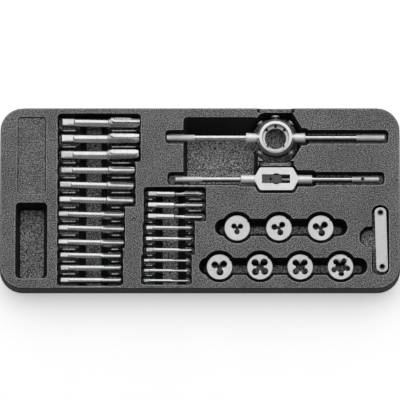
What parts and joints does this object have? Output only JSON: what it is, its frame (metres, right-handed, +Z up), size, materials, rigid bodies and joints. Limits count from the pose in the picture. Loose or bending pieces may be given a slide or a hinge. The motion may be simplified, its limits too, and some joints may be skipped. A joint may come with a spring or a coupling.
{
  "type": "tap and die storage drawer",
  "caption": "Moulded drawer tray holding hand taps, round dies, a die stock, a tap wrench and a screw pitch gauge, each in its own pocket with finger room to lift it.",
  "frame": {"origin": "centre of the tray's footprint, on the surface it stands on", "axes": "+X to the right along the tray's length, +Y to the back of the drawer, +Z up"},
  "size_m": [0.388, 0.1786, 0.026],
  "materials": {
    "tray_plastic": "fine pebble grain, semi-matt black",
    "bright_steel": "ground bright steel",
    "die_steel": "fine ground satin steel",
    "satin_body": "satin nickel plate",
    "dark_steel": "oiled dark steel"
  },
  "bodies": {
    "tray": {"tray": "tray_plastic"},
    "tap_wrench": {"wrench_frame": "satin_body", "wrench_jaw_fixed": "dark_steel", "wrench_handle_fixed": "bright_steel"},
    "wrench_sliding_jaw": {"wrench_jaw_sliding": "dark_steel"},
    "wrench_screw_handle": {"wrench_handle_screwed": "bright_steel"},
    "die_stock": {"stock_ring": "satin_body", "stock_handle_left": "bright_steel", "stock_handle_right": "bright_steel"},
    "clamp_screw_90": {"clamp_screw_90": "dark_steel"},
    "clamp_screw_45": {"clamp_screw_45": "dark_steel"},
    "clamp_screw_135": {"clamp_screw_135": "dark_steel"},
    "clamp_screw_225": {"clamp_screw_225": "dark_steel"},
    "clamp_screw_315": {"clamp_screw_315": "dark_steel"},
    "pitch_gauge": {"gauge_cover_lower": "bright_steel", "gauge_cover_upper": "bright_steel", "gauge_rivet_back": "bright_steel", "gauge_rivet_front": "bright_steel", "gauge_leaf_1": "dark_steel", "gauge_leaf_2": "dark_steel", "gauge_leaf_3": "dark_steel", "gauge_leaf_4": "dark_steel", "gauge_leaf_5": "dark_steel", "gauge_leaf_6": "dark_steel"},
    "die_m3": {"die_m3": "die_steel"},
    "die_m4": {"die_m4": "die_steel"},
    "die_m5": {"die_m5": "die_steel"},
    "die_m6": {"die_m6": "die_steel"},
    "die_m8": {"die_m8": "die_steel"},
    "die_m10": {"die_m10": "die_steel"},
    "die_m12": {"die_m12": "die_steel"},
    "tap_m12_taper": {"tap_m12_taper": "bright_steel"},
    "tap_m12_second": {"tap_m12_second": "bright_steel"},
    "tap_m12_bottoming": {"tap_m12_bottoming": "bright_steel"},
    "tap_m10_taper": {"tap_m10_taper": "bright_steel"},
    "tap_m10_second": {"tap_m10_second": "bright_steel"},
    "tap_m10_bottoming": {"tap_m10_bottoming": "bright_steel"},
    "tap_m8_taper": {"tap_m8_taper": "bright_steel"},
    "tap_m8_second": {"tap_m8_second": "bright_steel"},
    "tap_m8_bottoming": {"tap_m8_bottoming": "bright_steel"},
    "tap_m6_taper": {"tap_m6_taper": "bright_steel"},
    "tap_m6_second": {"tap_m6_second": "bright_steel"},
    "tap_m6_bottoming": {"tap_m6_bottoming": "bright_steel"},
    "tap_m5_taper": {"tap_m5_taper": "bright_steel"},
    "tap_m5_second": {"tap_m5_second": "bright_steel"},
    "tap_m5_bottoming": {"tap_m5_bottoming": "bright_steel"},
    "tap_m4_taper": {"tap_m4_taper": "bright_steel"},
    "tap_m4_second": {"tap_m4_second": "bright_steel"},
    "tap_m4_bottoming": {"tap_m4_bottoming": "bright_steel"},
    "tap_m3_taper": {"tap_m3_taper": "bright_steel"},
    "tap_m3_second": {"tap_m3_second": "bright_steel"},
    "tap_m3_bottoming": {"tap_m3_bottoming": "bright_steel"}
  },
  "joints": [
    {"name": "wrench_jaw_slide", "type": "slide", "parent": "tap_wrench", "child": "wrench_sliding_jaw", "axis": [1, 0, 0], "range_m": [0, 0.004]},
    {"name": "wrench_handle_turn", "type": "hinge", "parent": "wrench_sliding_jaw", "child": "wrench_screw_handle", "pos_m": [0.0735, 0.0193, 0.0195], "axis": [1, 0, 0], "range_deg": [0, 1440]},
    {"name": "clamp_screw_90_in", "type": "slide", "parent": "die_stock", "child": "clamp_screw_90", "axis": [0, -1, 0], "range_m": [-0.0007, 0.0015]},
    {"name": "clamp_screw_45_in", "type": "slide", "parent": "die_stock", "child": "clamp_screw_45", "axis": [-0.7071, -0.7071, 0], "range_m": [-0.0007, 0.0015]},
    {"name": "clamp_screw_135_in", "type": "slide", "parent": "die_stock", "child": "clamp_screw_135", "axis": [0.7071, -0.7071, 0], "range_m": [-0.0007, 0.0015]},
    {"name": "clamp_screw_225_in", "type": "slide", "parent": "die_stock", "child": "clamp_screw_225", "axis": [0.7071, 0.7071, 0], "range_m": [-0.0007, 0.0015]},
    {"name": "clamp_screw_315_in", "type": "slide", "parent": "die_stock", "child": "clamp_screw_315", "axis": [-0.7071, 0.7071, 0], "range_m": [-0.0007, 0.0015]},
    {"name": "lift_tap_wrench", "type": "slide", "parent": "tray", "child": "tap_wrench", "axis": [0, 0, 1], "range_m": [0, 0.04]},
    {"name": "lift_die_stock", "type": "slide", "parent": "tray", "child": "die_stock", "axis": [0, 0, 1], "range_m": [0, 0.04]},
    {"name": "lift_pitch_gauge", "type": "slide", "parent": "tray", "child": "pitch_gauge", "axis": [0, 0, 1], "range_m": [0, 0.04]},
    {"name": "lift_die_m3", "type": "slide", "parent": "tray", "child": "die_m3", "axis": [0, 0, 1], "range_m": [0, 0.04]},
    {"name": "lift_die_m4", "type": "slide", "parent": "tray", "child": "die_m4", "axis": [0, 0, 1], "range_m": [0, 0.04]},
    {"name": "lift_die_m5", "type": "slide", "parent": "tray", "child": "die_m5", "axis": [0, 0, 1], "range_m": [0, 0.04]},
    {"name": "lift_die_m6", "type": "slide", "parent": "tray", "child": "die_m6", "axis": [0, 0, 1], "range_m": [0, 0.04]},
    {"name": "lift_die_m8", "type": "slide", "parent": "tray", "child": "die_m8", "axis": [0, 0, 1], "range_m": [0, 0.04]},
    {"name": "lift_die_m10", "type": "slide", "parent": "tray", "child": "die_m10", "axis": [0, 0, 1], "range_m": [0, 0.04]},
    {"name": "lift_die_m12", "type": "slide", "parent": "tray", "child": "die_m12", "axis": [0, 0, 1], "range_m": [0, 0.04]},
    {"name": "lift_tap_m12_taper", "type": "slide", "parent": "tray", "child": "tap_m12_taper", "axis": [0, 0, 1], "range_m": [0, 0.04]},
    {"name": "lift_tap_m12_second", "type": "slide", "parent": "tray", "child": "tap_m12_second", "axis": [0, 0, 1], "range_m": [0, 0.04]},
    {"name": "lift_tap_m12_bottoming", "type": "slide", "parent": "tray", "child": "tap_m12_bottoming", "axis": [0, 0, 1], "range_m": [0, 0.04]},
    {"name": "lift_tap_m10_taper", "type": "slide", "parent": "tray", "child": "tap_m10_taper", "axis": [0, 0, 1], "range_m": [0, 0.04]},
    {"name": "lift_tap_m10_second", "type": "slide", "parent": "tray", "child": "tap_m10_second", "axis": [0, 0, 1], "range_m": [0, 0.04]},
    {"name": "lift_tap_m10_bottoming", "type": "slide", "parent": "tray", "child": "tap_m10_bottoming", "axis": [0, 0, 1], "range_m": [0, 0.04]},
    {"name": "lift_tap_m8_taper", "type": "slide", "parent": "tray", "child": "tap_m8_taper", "axis": [0, 0, 1], "range_m": [0, 0.04]},
    {"name": "lift_tap_m8_second", "type": "slide", "parent": "tray", "child": "tap_m8_second", "axis": [0, 0, 1], "range_m": [0, 0.04]},
    {"name": "lift_tap_m8_bottoming", "type": "slide", "parent": "tray", "child": "tap_m8_bottoming", "axis": [0, 0, 1], "range_m": [0, 0.04]},
    {"name": "lift_tap_m6_taper", "type": "slide", "parent": "tray", "child": "tap_m6_taper", "axis": [0, 0, 1], "range_m": [0, 0.04]},
    {"name": "lift_tap_m6_second", "type": "slide", "parent": "tray", "child": "tap_m6_second", "axis": [0, 0, 1], "range_m": [0, 0.04]},
    {"name": "lift_tap_m6_bottoming", "type": "slide", "parent": "tray", "child": "tap_m6_bottoming", "axis": [0, 0, 1], "range_m": [0, 0.04]},
    {"name": "lift_tap_m5_taper", "type": "slide", "parent": "tray", "child": "tap_m5_taper", "axis": [0, 0, 1], "range_m": [0, 0.04]},
    {"name": "lift_tap_m5_second", "type": "slide", "parent": "tray", "child": "tap_m5_second", "axis": [0, 0, 1], "range_m": [0, 0.04]},
    {"name": "lift_tap_m5_bottoming", "type": "slide", "parent": "tray", "child": "tap_m5_bottoming", "axis": [0, 0, 1], "range_m": [0, 0.04]},
    {"name": "lift_tap_m4_taper", "type": "slide", "parent": "tray", "child": "tap_m4_taper", "axis": [0, 0, 1], "range_m": [0, 0.04]},
    {"name": "lift_tap_m4_second", "type": "slide", "parent": "tray", "child": "tap_m4_second", "axis": [0, 0, 1], "range_m": [0, 0.04]},
    {"name": "lift_tap_m4_bottoming", "type": "slide", "parent": "tray", "child": "tap_m4_bottoming", "axis": [0, 0, 1], "range_m": [0, 0.04]},
    {"name": "lift_tap_m3_taper", "type": "slide", "parent": "tray", "child": "tap_m3_taper", "axis": [0, 0, 1], "range_m": [0, 0.04]},
    {"name": "lift_tap_m3_second", "type": "slide", "parent": "tray", "child": "tap_m3_second", "axis": [0, 0, 1], "range_m": [0, 0.04]},
    {"name": "lift_tap_m3_bottoming", "type": "slide", "parent": "tray", "child": "tap_m3_bottoming", "axis": [0, 0, 1], "range_m": [0, 0.04]}
  ],
  "couplings": [
    {"joint": "wrench_handle_turn", "follows": "wrench_jaw_slide", "rad_per_m": 6283.2}
  ]
}
